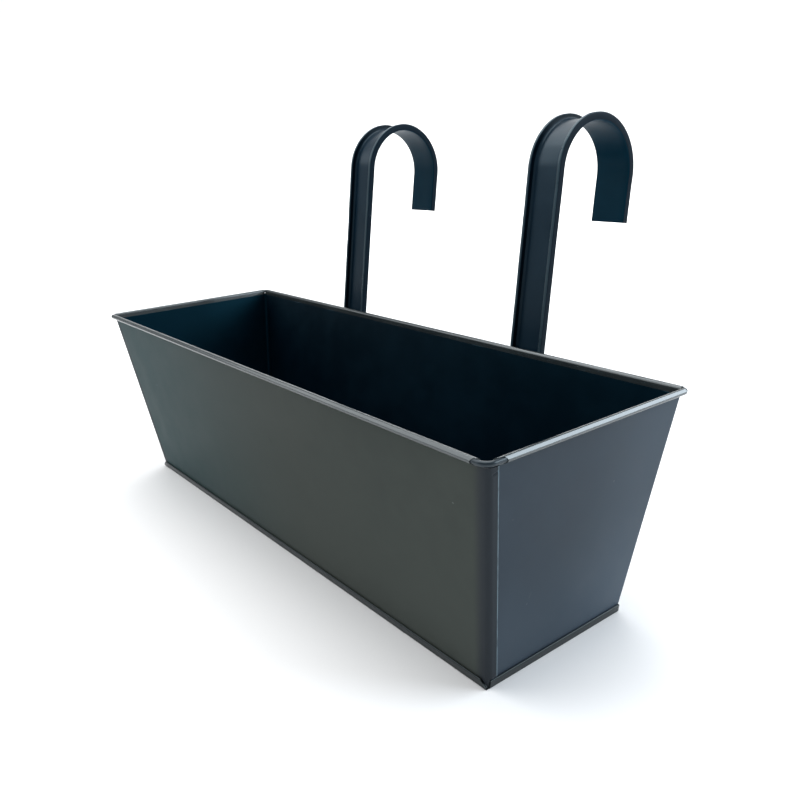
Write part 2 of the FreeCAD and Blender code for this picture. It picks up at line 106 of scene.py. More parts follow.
def interp(x, xs, ys):
    if x <= xs[0]:
        return ys[0]
    for i in range(1, len(xs)):
        if x <= xs[i]:
            t = (x - xs[i - 1]) / (xs[i] - xs[i - 1])
            return ys[i - 1] + t * (ys[i] - ys[i - 1])
    return ys[-1]


def strip(path, d0, d1, step=1.0, dang=9.0):
    """Two sides of a thin strip along a path of lines and arcs, point for point."""
    a, b = [], []
    for seg in path:
        if seg[0] == "L":
            (x0, y0), (x1, y1) = seg[1], seg[2]
            ln = math.hypot(x1 - x0, y1 - y0)
            nx, ny = -(y1 - y0) / ln, (x1 - x0) / ln
            n = max(1, int(math.ceil(ln / step)))
            for i in range(n + 1):
                t = i / n
                x, y = x0 + (x1 - x0) * t, y0 + (y1 - y0) * t
                a.append((x + nx * d0, y + ny * d0))
                b.append((x + nx * d1, y + ny * d1))
        else:
            _, c, r, a0, a1 = seg
            n = max(2, int(math.ceil(abs(a1 - a0) / dang)))
            sg = 1.0 if a1 > a0 else -1.0
            for i in range(n + 1):
                g = math.radians(a0 + (a1 - a0) * i / n)
                a.append((c[0] + (r - sg * d0) * math.cos(g), c[1] + (r - sg * d0) * math.sin(g)))
                b.append((c[0] + (r - sg * d1) * math.cos(g), c[1] + (r - sg * d1) * math.sin(g)))
    # drop doubled points where segments meet
    oa, ob = [a[0]], [b[0]]
    for p, q in zip(a[1:], b[1:]):
        if math.hypot(p[0] - oa[-1][0], p[1] - oa[-1][1]) > 1e-6 or math.hypot(q[0] - ob[-1][0], q[1] - ob[-1][1]) > 1e-6:
            oa.append(p)
            ob.append(q)
    return oa, ob


class Mesh(object):
    """Collects rings and faces in millimetres."""

    def __init__(self):
        self.v, self.f, self.m = [], [], []

    def add(self, p):
        self.v.append((p[0] * 0.001, p[1] * 0.001, p[2] * 0.001))
        return len(self.v) - 1

    def strip_loft(self, rings_a, rings_b, mat_a=0, mat_b=0, mat_e=0):
        """A sheet: side a and side b at each station, closed at its edges and ends."""
        ia = [[self.add(p) for p in r] for r in rings_a]
        ib = [[self.add(p) for p in r] for r in rings_b]
        n = len(ia[0])
        for s in range(len(ia) - 1):
            for j in range(n - 1):
                self.f.append((ia[s][j], ia[s][j + 1], ia[s + 1][j + 1], ia[s + 1][j])); self.m.append(mat_a)
                self.f.append((ib[s][j], ib[s + 1][j], ib[s + 1][j + 1], ib[s][j + 1])); self.m.append(mat_b)
            for j in (0, n - 1):
                q = (ia[s][j], ib[s][j], ib[s + 1][j], ia[s + 1][j])
                self.f.append(q); self.m.append(mat_e)
        for s in (0, len(ia) - 1):
            for j in range(n - 1):
                self.f.append((ia[s][j], ia[s][j + 1], ib[s][j + 1], ib[s][j])); self.m.append(mat_e)

    def tube_loft(self, rings, closed=False, cap=True, mat=0):
        idx = [[self.add(p) for p in r] for r in rings]
        n, k = len(idx[0]), len(idx)
        for s in range(k if closed else k - 1):
            a, b = idx[s], idx[(s + 1) % k]
            for j in range(n):
                self.f.append((a[j], a[(j + 1) % n], b[(j + 1) % n], b[j])); self.m.append(mat)
        if cap and not closed:
            self.f.append(tuple(reversed(idx[0]))); self.m.append(mat)
            self.f.append(tuple(idx[-1])); self.m.append(mat)

    def build(self, name, mats, angle=35.0, bevel=None):
        me = bpy.data.meshes.new(name)
        me.from_pydata(self.v, [], self.f)
        for mt in mats:
            me.materials.append(mt)
        me.polygons.foreach_set("material_index", self.m)
        bm = bmesh.new()
        bm.from_mesh(me)
        bmesh.ops.remove_doubles(bm, verts=bm.verts, dist=2e-7)
        bmesh.ops.recalc_face_normals(bm, faces=bm.faces)
        if bevel:
            width, cond = bevel
            es = [e for e in bm.edges if len(e.link_faces) == 2 and e.calc_face_angle(0) > math.radians(55) and cond(e)]
            bmesh.ops.bevel(bm, geom=es, offset=width, segments=2, affect="EDGES", profile=0.5)
        for f in bm.faces:
            f.smooth = True
        bm.to_mesh(me)
        bm.free()
        me.set_sharp_from_angle(angle=math.radians(angle))
        o = bpy.data.objects.new(name, me)
        bpy.context.scene.collection.objects.link(o)
        return o


# ---------------------------------------------------------------- materials
def nodes_of(name):
    mat = bpy.data.materials.new(name)
    mat.use_nodes = True
    nt = mat.node_tree
    nt.nodes.clear()
    out = nt.nodes.new("ShaderNodeOutputMaterial")
    bs = nt.nodes.new("ShaderNodeBsdfPrincipled")
    nt.links.new(bs.outputs[0], out.inputs[0])
    return mat, nt, bs


def noise_node(nt, vec, scale, detail=3.0, rough=0.5, dist=0.0):
    n = nt.nodes.new("ShaderNodeTexNoise")
    n.inputs["Scale"].default_value = scale
    n.inputs["Detail"].default_value = detail
    n.inputs["Roughness"].default_value = rough
    n.inputs["Distortion"].default_value = dist
    nt.links.new(vec, n.inputs["Vector"])
    return n.outputs["Fac"]


def ramp(nt, fac, lo, hi, a=0.0, b=1.0, smooth=True):
    m = nt.nodes.new("ShaderNodeMapRange")
    m.interpolation_type = "SMOOTHSTEP" if smooth else "LINEAR"
    m.inputs["From Min"].default_value = lo
    m.inputs["From Max"].default_value = hi
    m.inputs["To Min"].default_value = a
    m.inputs["To Max"].default_value = b
    nt.links.new(fac, m.inputs["Value"])
    return m.outputs["Result"]


def math_node(nt, op, a, b=None, clamp=False):
    m = nt.nodes.new("ShaderNodeMath")
    m.operation = op
    m.use_clamp = clamp
    for i, x in enumerate((a, b)):
        if x is None:
            continue
        if isinstance(x, (int, float)):
            m.inputs[i].default_value = x
        else:
            nt.links.new(x, m.inputs[i])
    return m.outputs[0]


def mix_col(nt, fac, a, b, mode="MIX"):
    m = nt.nodes.new("ShaderNodeMix")
    m.data_type = "RGBA"
    m.blend_type = mode
    for sock, x in ((m.inputs[0], fac), (m.inputs[6], a), (m.inputs[7], b)):
        if isinstance(x, (int, float)):
            sock.default_value = x
        elif isinstance(x, tuple):
            sock.default_value = (x[0], x[1], x[2], 1.0)
        else:
            nt.links.new(x, sock)
    return m.outputs[2]


def paint(name, base, dark, rough=(0.34, 0.46), spec=0.5, peel=0.35, marks=(), tint=(1.0, 1.0, 1.0),
          foot_light=0.0, seam_shade=0.0, back_edge_light=0.0, grains=0.5):
    """Satin stoving paint on thin steel: uneven tone, orange peel, dust and rubbed marks, with painted light towards
    the foot and the back edge, painted shade on the front corners' bend and seam, and a painted highlight on the seam's
    folded edge.
    """
    mat, nt, bs = nodes_of(name)
    tc = nt.nodes.new("ShaderNodeTexCoord")
    vec = tc.outputs["Object"]
    big = noise_node(nt, vec, 9.0, 3.0, 0.55, 0.3)
    mid = noise_node(nt, vec, 60.0, 4.0, 0.6)
    fine = noise_node(nt, vec, 900.0, 3.0, 0.6)
    tone = math_node(nt, "ADD", math_node(nt, "MULTIPLY", big, 0.6), math_node(nt, "MULTIPLY", mid, 0.4))
    col = mix_col(nt, ramp(nt, tone, 0.35, 0.65), dark, base)
    # fine dust, just visible as pale grains
    dust = ramp(nt, noise_node(nt, vec, 2300.0, 2.0, 0.5), 0.72, 0.80)
    dustm = math_node(nt, "MULTIPLY", dust, ramp(nt, mid, 0.5, 0.7, 0.0, grains))
    col = mix_col(nt, dustm, col, tuple(min(1.0, c * 2.6 + 0.012) for c in base))
    rgh = ramp(nt, math_node(nt, "ADD", math_node(nt, "MULTIPLY", mid, 0.5), math_node(nt, "MULTIPLY", big, 0.5)),
               0.35, 0.65, rough[0], rough[1])
    # small scuffs at fixed places: (x, y, z, half sizes, turn about Y and Z, strength, colour)
    for (px, py, pz, sx, sy, sz, ry, rz, k, shade) in marks:
        mp = nt.nodes.new("ShaderNodeMapping")
        mp.vector_type = "TEXTURE"
        mp.inputs["Location"].default_value = (px * 0.001, py * 0.001, pz * 0.001)
        mp.inputs["Rotation"].default_value = (0.0, ry, rz)
        mp.inputs["Scale"].default_value = (sx * 0.001, sy * 0.001, sz * 0.001)
        nt.links.new(vec, mp.inputs["Vector"])
        ln = nt.nodes.new("ShaderNodeVectorMath")
        ln.operation = "LENGTH"
        nt.links.new(mp.outputs[0], ln.inputs[0])
        near = ramp(nt, ln.outputs["Value"], 0.45, 1.0, 1.0, 0.0)
        rag = ramp(nt, noise_node(nt, vec, 1400.0, 3.0, 0.6), 0.35, 0.6)
        col = mix_col(nt, math_node(nt, "MULTIPLY", math_node(nt, "MULTIPLY", near, rag), k), col, shade)
    bs.inputs["Specular IOR Level"].default_value = spec
    if foot_light or seam_shade:
        sep = nt.nodes.new("ShaderNodeSeparateXYZ")
        nt.links.new(vec, sep.inputs[0])
    if foot_light:
        # painted light: the paint is made paler towards the foot, standing in for light reflected onto the lower walls
        foot_light_mask = math_node(nt, "MULTIPLY", ramp(nt, sep.outputs[2], 0.085, 0.0, 0.0, 1.0), foot_light)
        col = mix_col(nt, foot_light_mask, col, tuple(c * 2.1 + 0.004 for c in base))
    if back_edge_light:
        # painted light: the colour is made brighter towards the back edge
        col = mix_col(nt, ramp(nt, sep.outputs[1], -0.01, 0.062, 0.0, 1.0), col, (1.0 + back_edge_light, 1.0 + back_edge_light, 1.0 + back_edge_light), "MULTIPLY")
    if seam_shade:
        # the colour turns cooler in tone towards the left end
        col = mix_col(nt, ramp(nt, sep.outputs[0], 0.06, -0.20, 0.0, 1.0), col, (0.72, 1.08, 1.25), "MULTIPLY")
        # painted shade: a darker colour on the bend and the folded seam of the front corners, with a raised specular
        # level
        off = math_node(nt, "SUBTRACT", math_node(nt, "ABSOLUTE", sep.outputs[0]),
                        math_node(nt, "MULTIPLY", sep.outputs[2], SHORT.k))
        at = ramp(nt, off, 0.1915, 0.1995)
        col = mix_col(nt, at, col, tuple(c * seam_shade for c in (0.0160, 0.0190, 0.0225)))
        nt.links.new(ramp(nt, at, 0.0, 1.0, spec, spec * 1.55, False), bs.inputs["Specular IOR Level"])
        # painted highlight along the folded edge, broken up by noise
        back = math_node(nt, "ADD", math_node(nt, "ADD", sep.outputs[1], LONG.u(0.0) * 0.001),
                         math_node(nt, "MULTIPLY", sep.outputs[2], LONG.k))
        edge = math_node(nt, "MULTIPLY", ramp(nt, back, 0.0054, 0.0060), ramp(nt, back, 0.0076, 0.0082, 1.0, 0.0))
        highlight_break = ramp(nt, noise_node(nt, vec, 120.0, 3.0, 0.6), 0.30, 0.60, 0.45, 1.0)
        col = mix_col(nt, math_node(nt, "MULTIPLY", math_node(nt, "MULTIPLY", at, edge), highlight_break), col, (0.125, 0.175, 0.205))
    nt.links.new(col, bs.inputs["Base Color"])
    nt.links.new(rgh, bs.inputs["Roughness"])
    bs.inputs["Specular Tint"].default_value = (tint[0], tint[1], tint[2], 1.0)
    bs.inputs["Metallic"].default_value = 0.0
    b1 = nt.nodes.new("ShaderNodeBump")
    b1.inputs["Strength"].default_value = peel
    b1.inputs["Distance"].default_value = 0.00002
    nt.links.new(math_node(nt, "ADD", noise_node(nt, vec, 700.0, 2.0, 0.5), math_node(nt, "MULTIPLY", fine, 0.35)), b1.inputs["Height"])
    b2 = nt.nodes.new("ShaderNodeBump")
    b2.inputs["Strength"].default_value = 0.5
    b2.inputs["Distance"].default_value = 0.0004
    nt.links.new(noise_node(nt, vec, 22.0, 2.0, 0.45), b2.inputs["Height"])
    nt.links.new(b1.outputs[0], b2.inputs["Normal"])
    nt.links.new(b2.outputs[0], bs.inputs["Normal"])
    return mat


PALE, DULL = (0.16, 0.17, 0.17), (0.055, 0.062, 0.066)
FRONT_MARKS = ((-165.6, -64.7, 84.7, 0.7, 1.5, 0.8, 0.0, 0.0, 0.8, PALE),
               (195.4, -67.7, 106.3, 0.8, 1.5, 0.6, 0.3, 0.0, 0.7, PALE),
               (15.4, -70.0, 122.9, 1.6, 2.0, 0.8, 0.4, 0.0, 0.35, DULL),
               (105.0, -68.4, 110.8, 2.4, 2.0, 0.6, -0.3, 0.0, 0.3, DULL),
               (19.2, -65.2, 88.0, 4.0, 2.0, 0.7, 0.7, 0.0, 0.3, (0.006, 0.007, 0.007)),
               (209.2, -60.6, 54.7, 0.35, 1.5, 3.4, 0.1, 0.0, 0.5, PALE))
END_MARKS = ((215.7, 24.5, 95.4, 1.5, 0.7, 0.7, 0.0, 0.0, 0.6, PALE),
             (216.3, -50.0, 99.2, 1.5, 0.9, 0.6, 0.0, 0.0, 0.45, DULL),
             (208.5, -29.4, 47.3, 1.6, 1.3, 3.2, 0.0, 0.0, 0.45, DULL),
             (207.8, -30.8, 43.0, 1.5, 0.6, 0.8, 0.0, 0.0, 0.6, PALE))
OUT_PAINT = paint("paint_outside", (0.0520, 0.0600, 0.0550), (0.0440, 0.0515, 0.0475), spec=0.02, tint=(0.88, 1.0, 0.97),
                  foot_light=0.10, seam_shade=1.7, marks=FRONT_MARKS)
# end sheets: a darker, bluer copy of the long sheets' paint as painted shade for how light falls on the ends, with
# painted light towards the foot and the back edge
END_SHADED_PAINT = paint("paint_ends_shaded", (0.0265, 0.0375, 0.0500), (0.0205, 0.0300, 0.0410), spec=0.10, tint=(0.70, 0.88, 1.0),
                  foot_light=0.45, back_edge_light=0.42, marks=END_MARKS)
# inner faces: the same paint made near black and blue, painted shade for the inside of the box
IN_SHADE_PAINT = paint("paint_inside_shaded", (0.0002, 0.0032, 0.0084), (0.0001, 0.0022, 0.0060), rough=(0.42, 0.54), spec=0.28,
                 tint=(0.08, 0.66, 1.0))
RIM_PAINT = paint("paint_rim", (0.0200, 0.0260, 0.0270), (0.0150, 0.0200, 0.0215), rough=(0.18, 0.26), spec=1.0,
                  tint=(0.88, 0.96, 1.0), peel=0.2)
WIRE_PAINT = paint("paint_wire", (0.0090, 0.0155, 0.0220), (0.0065, 0.0120, 0.0175), rough=(0.26, 0.34), spec=0.45,
                   tint=(0.80, 0.93, 1.0), peel=0.2)
HOOK_PAINT = paint("paint_hooks", (0.0012, 0.0125, 0.0260), (0.0008, 0.0098, 0.0210), rough=(0.27, 0.35), spec=0.32,
                   tint=(0.62, 0.86, 1.0), peel=0.2, grains=0.06)
# hook faces turned sideways: a darker copy of the hook paint, painted shade
HOOK_SIDE_SHADE = paint("paint_hook_sides_shaded", (0.0010, 0.0058, 0.0120), (0.0007, 0.0044, 0.0095), rough=(0.36, 0.44), spec=0.07,
                  tint=(0.60, 0.86, 1.0), peel=0.2, grains=0.0)
# hook faces turned inwards: a lighter copy of the hook paint, painted light
HOOK_BACK_LIT = paint("paint_hook_backs_lit", (0.0012, 0.0215, 0.0400), (0.0009, 0.0180, 0.0340), rough=(0.36, 0.44), spec=0.09,
                  tint=(0.45, 0.84, 1.0), peel=0.2, grains=0.0)
# outward lip tops of the hooks: a pale copy of the hook paint, painted highlight
HOOK_EDGE_HIGHLIGHT = paint("paint_hook_edges_highlight", (0.0220, 0.0430, 0.0580), (0.0170, 0.0350, 0.0480), rough=(0.26, 0.34), spec=0.5,
                  tint=(0.70, 0.90, 1.0), peel=0.2, grains=0.0)
PAN_PAINT = paint("paint_pan", (0.0120, 0.0155, 0.0170), (0.0085, 0.0115, 0.0128), rough=(0.28, 0.40), spec=0.34,
                  tint=(0.80, 0.95, 1.0))


# ------------------------------------------------------------- wavy sheets
def wave_long(x, z, seed):
    """Oil-canning of a long sheet, outward, in millimetres."""
    ex = smooth01((SHORT.u(z) - 6.0 - abs(x)) / 40.0)
    ez = smooth01((z - 5.5) / 22.0) * smooth01((131.5 - z) / 26.0)
    a = nz(x / 120.0, z / 80.0, 0.0, seed) * 0.42 + nz(x / 45.0, z / 38.0, 2.0, seed) * 0.10
    return a * ex * ez


def wave_short(y, z, seed):
    ey = smooth01((LONG.u(z) - 8.0 - abs(y)) / 22.0)
    ez = smooth01((z - 5.5) / 22.0) * smooth01((131.5 - z) / 26.0)
    a = nz(y / 90.0, z / 80.0, 0.0, seed) * 0.36 + nz(y / 40.0, z / 38.0, 2.0, seed) * 0.09
    return a * ey * ez


def levels(lo, hi, fine_lo, fine_hi, step):
    """Stations from lo to hi, closer together near both ends."""
    out, z = [lo], lo
    while z < hi - 1e-6:
        if z < fine_lo:
            d = 0.7
        elif z > fine_hi:
            d = 0.4
        else:
            d = step
        z = min(hi, z + d)
        out.append(z)
    return out


# ------------------------------------------------------------- long panels
CX = NOUT - BEND
SEAM_PATH = [("L", (CX - 1.5, 0.0), (CX, 0.0)),
             ("A", (CX, BEND), BEND, -90.0, 0.0),
             ("L", (NOUT, BEND), (NOUT, SEAM_W - RO)),
             ("A", (NOUT - RO, SEAM_W - RO), RO, 0.0, 180.0),
             ("L", (G, SEAM_W - RO), (G, BEND + 0.7))]


def curl_profile(wall, lo_z):
    """Sheet from level lo_z up and round the wire."""
    w0 = (lo_z - 0.0) / wall.c
    a_end = 180.0 - 292.0
    pa, pb = strip([("L", (0.0, w0), (0.0, wall.bead_w)),
                    ("A", (wall.bead_n, wall.bead_w), wall.bead_n, 180.0, a_end)], 0.0, T * wall.c, 0.6, 5.0)

    def press(pts, least):
        """The closing tool leaves the bead's upper outer quarter nearly flat."""
        out = []
        for (n, w) in pts:
            dn, dw = n - wall.bead_n, w - wall.bead_w
            r = math.hypot(dn, dw)
            if dn + dw > 1e-6:
                lim = least * r / (dn + dw)
                k = 10.0
                r2 = -math.log(math.exp(-k * r) + math.exp(-k * lim)) / k if lim < r + 1.0 else r
                dn, dw = dn * r2 / r, dw * r2 / r
            out.append((wall.bead_n + dn, wall.bead_w + dw))
        return out

    return press(pa, 2.09), press(pb, 2.26)


def fold_profile(wall):
    wf = (T + G + RO + RF * wall.s) / wall.c
    up = (BAND_H - RO - 0.15) / wall.c
    return strip([("L", (0.0, wf + 1.2), (0.0, wf)),
                  ("A", (RF, wf), RF, 180.0, 360.0),
                  ("L", (2 * RF, wf), (2 * RF, up))], 0.0, -T * wall.c, 1.0, 20.0)


def bead_wobble(x, seed):
    """Small unevenness of the hand-closed curl, in millimetres: in/out and up/down."""
    return nz(x / 26.0, 0.0, 5.0, seed) * 0.10, nz(x / 31.0, 9.0, 0.0, seed) * 0.08


HOOK_PATH = [("L", (0.0, BEND + 4.45), (0.0, BEND + 0.45)),
             ("A", (RF, BEND + 0.45), RF, 180.0, 360.0),
             ("L", (2 * RF, BEND + 0.45), (2 * RF, SEAM_W - RO - 0.2))]


def side_panel(label, lengthwise, sc, seed):
    """One side sheet. 'sc' is the side of the centre it stands on. The long sheet
    wraps round the end sheet at the front, the end sheet round the long one at the back."""
    own, other = (LONG, SHORT) if lengthwise else (SHORT, LONG)
    wave = wave_long if lengthwise else wave_short
    m = Mesh()
    far = 220.6 if lengthwise else 70.6
    wa, wb = strip(SEAM_PATH, 0.0, T, 0.45, 6.0)
    wna, wnb = strip(SEAM_PATH[:2], 0.0, T, 0.45, 6.0)
    ha, hb = strip(HOOK_PATH, 0.0, -T, 0.6, 20.0)
    hna, hnb = strip(HOOK_PATH[:1], 0.0, -T, 0.6, 20.0)
    kind = {}
    for sa in (1, -1):
        ys, xs = (sc, sa) if lengthwise else (sa, sc)
        kind[sa] = (lengthwise == (ys < 0), ys < 0 and xs > 0)

    def put(al, ac, z):
        return (al, ac, z) if lengthwise else (ac, al, z)

    def edge_pts(sa, z, face, neck):
        """Points of one upright edge, from the sheet outwards along its seam."""
        wraps = kind[sa][0]
        if wraps:
            prof = (wna if neck else wa) if face == 0 else (wnb if neck else wb)
            return [put(sa * (other.u(z) + q), sc * (own.u(z) - p), z) for q, p in prof]
        prof = (hna if neck else ha) if face == 0 else (hnb if neck else hb)
        return [put(sa * (other.u(z) - p), sc * (own.u(z) + q), z) for q, p in prof]

    def ring(z, face, neck=False):
        start = dict((sa, other.u(z) + (CX - 1.5 if kind[sa][0] else -(BEND + 4.45))) for sa in (1, -1))
        out = list(reversed(edge_pts(-1, z, face, neck)))
        n = 104 if lengthwise else 52
        for i in range(1, n):
            al = -start[-1] + (start[1] + start[-1]) * i / n
            out.append(put(al, sc * (own.u(z) - (T if face else 0.0) + wave(al, z, seed)), z))
        return out + edge_pts(1, z, face, neck)

    def nick(r):
        """A pressed dent in the near corner's seam, just under the rim, and hammer marks at its foot."""
        out = []
        for (x, y, zz) in r:
            if lengthwise and sc < 0 and x > 0:
                p = LONG.u(zz) + y
                q = x - SHORT.u(zz)
                if q > 0.5 and 1.6 < p < 6.7:
                    cz = 128.7 + 0.085 * (p - 2.2) ** 2
                    d = math.exp(-((zz - cz) / 0.45) ** 2) * smooth01((p - 2.0) / 1.0) * smooth01((6.4 - p) / 0.8)
                    up = math.exp(-((zz - cz - 1.0) / 0.55) ** 2) * smooth01((p - 2.4) / 1.2) * smooth01((6.4 - p) / 0.8)
                    x = x - 0.46 * d + 0.14 * up
            if lengthwise and sc < 0 and x > SHORT.u(zz) - 3.5 and zz < 6.2:
                # the seam is hammered flat where the pan's edge runs over it
                x -= 0.8 * smooth01((6.2 - zz) / 0.9) * smooth01((LONG.u(zz) + y - 0.6) / 1.6)
            if lengthwise and sc < 0 and zz < 7.0 and abs(x) > SHORT.u(zz) - 1.0:
                k = smooth01((7.0 - zz) / 5.0)
                x -= math.copysign(1.0, x) * k * (0.15 + 0.22 * nz(y * 0.5, zz * 0.35, 1.0, seed))
            out.append((x, y, zz))
        return out

    zs = levels(SEAM_FOOT, SEAM_TOP, 8.0, 120.0, 3.6)
    m.strip_loft([nick(ring(z, 0)) for z in zs], [nick(ring(z, 1)) for z in zs], 0, 1, 0)
    zn = [SEAM_TOP + i * (NOTCH - SEAM_TOP) / 3.0 for i in range(4)]
    m.strip_loft([ring(z, 0, True) for z in zn], [ring(z, 1, True) for z in zn], 0, 1, 0)
    # behind the closed corners the bend stands a little higher, up to the wire
    for sa in (1, -1):
        if kind[sa] == (True, False):
            keep = [i for i, q in enumerate(edge_pts(sa, NOTCH, 0, True)) if abs(q[0 if lengthwise else 1]) > far - 0.6]
            za = [NOTCH + 0.27 * i for i in range(5)]
            m.strip_loft([[edge_pts(sa, z, 0, True)[i] for i in keep] for z in za],
                         [[edge_pts(sa, z, 1, True)[i] for i in keep] for z in za], 0, 1, 0)

    # curl: each point of the profile has its own length, which makes the slanted snip
    pa, pb = curl_profile(own, NOTCH)
    if lengthwise:
        snip = ([own.bead_u - 0.5, own.bead_u + 0.2, RIM_W / 2.0], [217.9, 216.3, 213.8])
    else:
        snip = ([own.bead_u - 0.6, own.bead_u + 0.3, RIM_L / 2.0], [67.9, 63.4, 61.2])
    nst = 150 if lengthwise else 70
    ra, rb = [], []
    for i in range(nst + 1):
        u = -1.0 + 2.0 * i / nst
        u = math.copysign(1 - (1 - abs(u)) ** 1.25, u) if u else 0.0
        row_a, row_b = [], []
        for prof, row in ((pa, row_a), (pb, row_b)):
            for j, (n, w) in enumerate(prof):
                ac, zz = own.pt(n, w)
                if j == 0:
                    ac, zz = own.u(NOTCH) - (T if prof is pb else 0.0), NOTCH
                ref = own.pt(*pa[j])[0] if j else own.u(NOTCH)
                half = far
                if kind[1 if u > 0 else -1][1]:
                    half = interp(ref, snip[0], snip[1])
                al = u * half
                wy, wz = bead_wobble(al, seed)
                f = smooth01((zz - NOTCH) / 1.6)
                row.append(put(al, sc * (ac + wy * f * 0.5), zz + wz * 0.5 * f))
        ra.append(row_a)
        rb.append(row_b)
    m.strip_loft(ra, rb, 2, 2, 2)

    # fold inside the foot seam
    pa, pb = fold_profile(own)
    h = FOOT_L / 2.0 - 9.0 if lengthwise else FOOT_W / 2.0 - 9.5
    st = [-h + 2 * h * i / 12.0 for i in range(13)]
    m.strip_loft([[put(al, sc * own.pt(n, w)[0], own.pt(n, w)[1]) for n, w in pa] for al in st],
                 [[put(al, sc * own.pt(n, w)[0], own.pt(n, w)[1]) for n, w in pb] for al in st], 0, 0, 0)
    o = m.build(label + "_sheet", [OUT_PAINT if lengthwise else END_SHADED_PAINT, IN_SHADE_PAINT, RIM_PAINT], 40.0)
    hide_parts(label)
    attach(o, BODY)
    return o


BODY = sorted(frame["bodies"])[0]
side_panel("front_panel", True, -1, 1.0)
side_panel("back_panel", True, 1, 2.0)
side_panel("right_end_panel", False, 1, 3.0)
side_panel("left_end_panel", False, -1, 4.0)


# ------------------------------------------------------------------ the wire
def wire():
    m = Mesh()
    r = WIRE_R
    xw, yw = SHORT.bead_u, LONG.bead_u
    zw = BOX_H - BEAD
    line = []
    corners = [(1, 1, 90, 0, 2.4), (1, -1, 0, -90, 5.0), (-1, -1, -90, -180, 2.4), (-1, 1, 180, 90, 2.4)]
    for (sx, sy, a0, a1, rw) in corners:
        cx, cy = sx * (xw - rw), sy * (yw - rw)
        for i in range(17):
            a = math.radians(a0 + (a1 - a0) * i / 16.0)
            line.append((cx + rw * math.cos(a), cy + rw * math.sin(a), math.cos(a), math.sin(a)))
        # a few stations on the straight that follows
    full = []
    for i, p in enumerate(line):
        full.append(p)
        q = line[(i + 1) % len(line)]
        d = math.hypot(q[0] - p[0], q[1] - p[1])
        if d > 8:
            k = int(d / 12.0)
            for t in range(1, k):
                s = t / k
                full.append((p[0] + (q[0] - p[0]) * s, p[1] + (q[1] - p[1]) * s, p[2], p[3]))
    rings = []
    for (x, y, nx, ny) in full:
        ring = []
        for j in range(24):
            a = 2 * math.pi * j / 24
            ring.append((x + r * math.cos(a) * nx, y + r * math.cos(a) * ny, zw + r * math.sin(a)))
        rings.append(ring)
    m.tube_loft(rings, closed=True)
    o = m.build("rim_wire_rod", [WIRE_PAINT], 60.0)
    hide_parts("rim_wire")
    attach(o, BODY)
    return o


wire()

# --------------------------------------------------------------------- hooks
HT, HL, HD, HB, HW = 1.2, 2.4, 5.0, 31.0, 26.0
H_FOOT, H_J0, H_JR, H_LIP, H_TAIL, H_Z = 15.0, 64.0, 16.0, 84.0, 29.4, 241.4


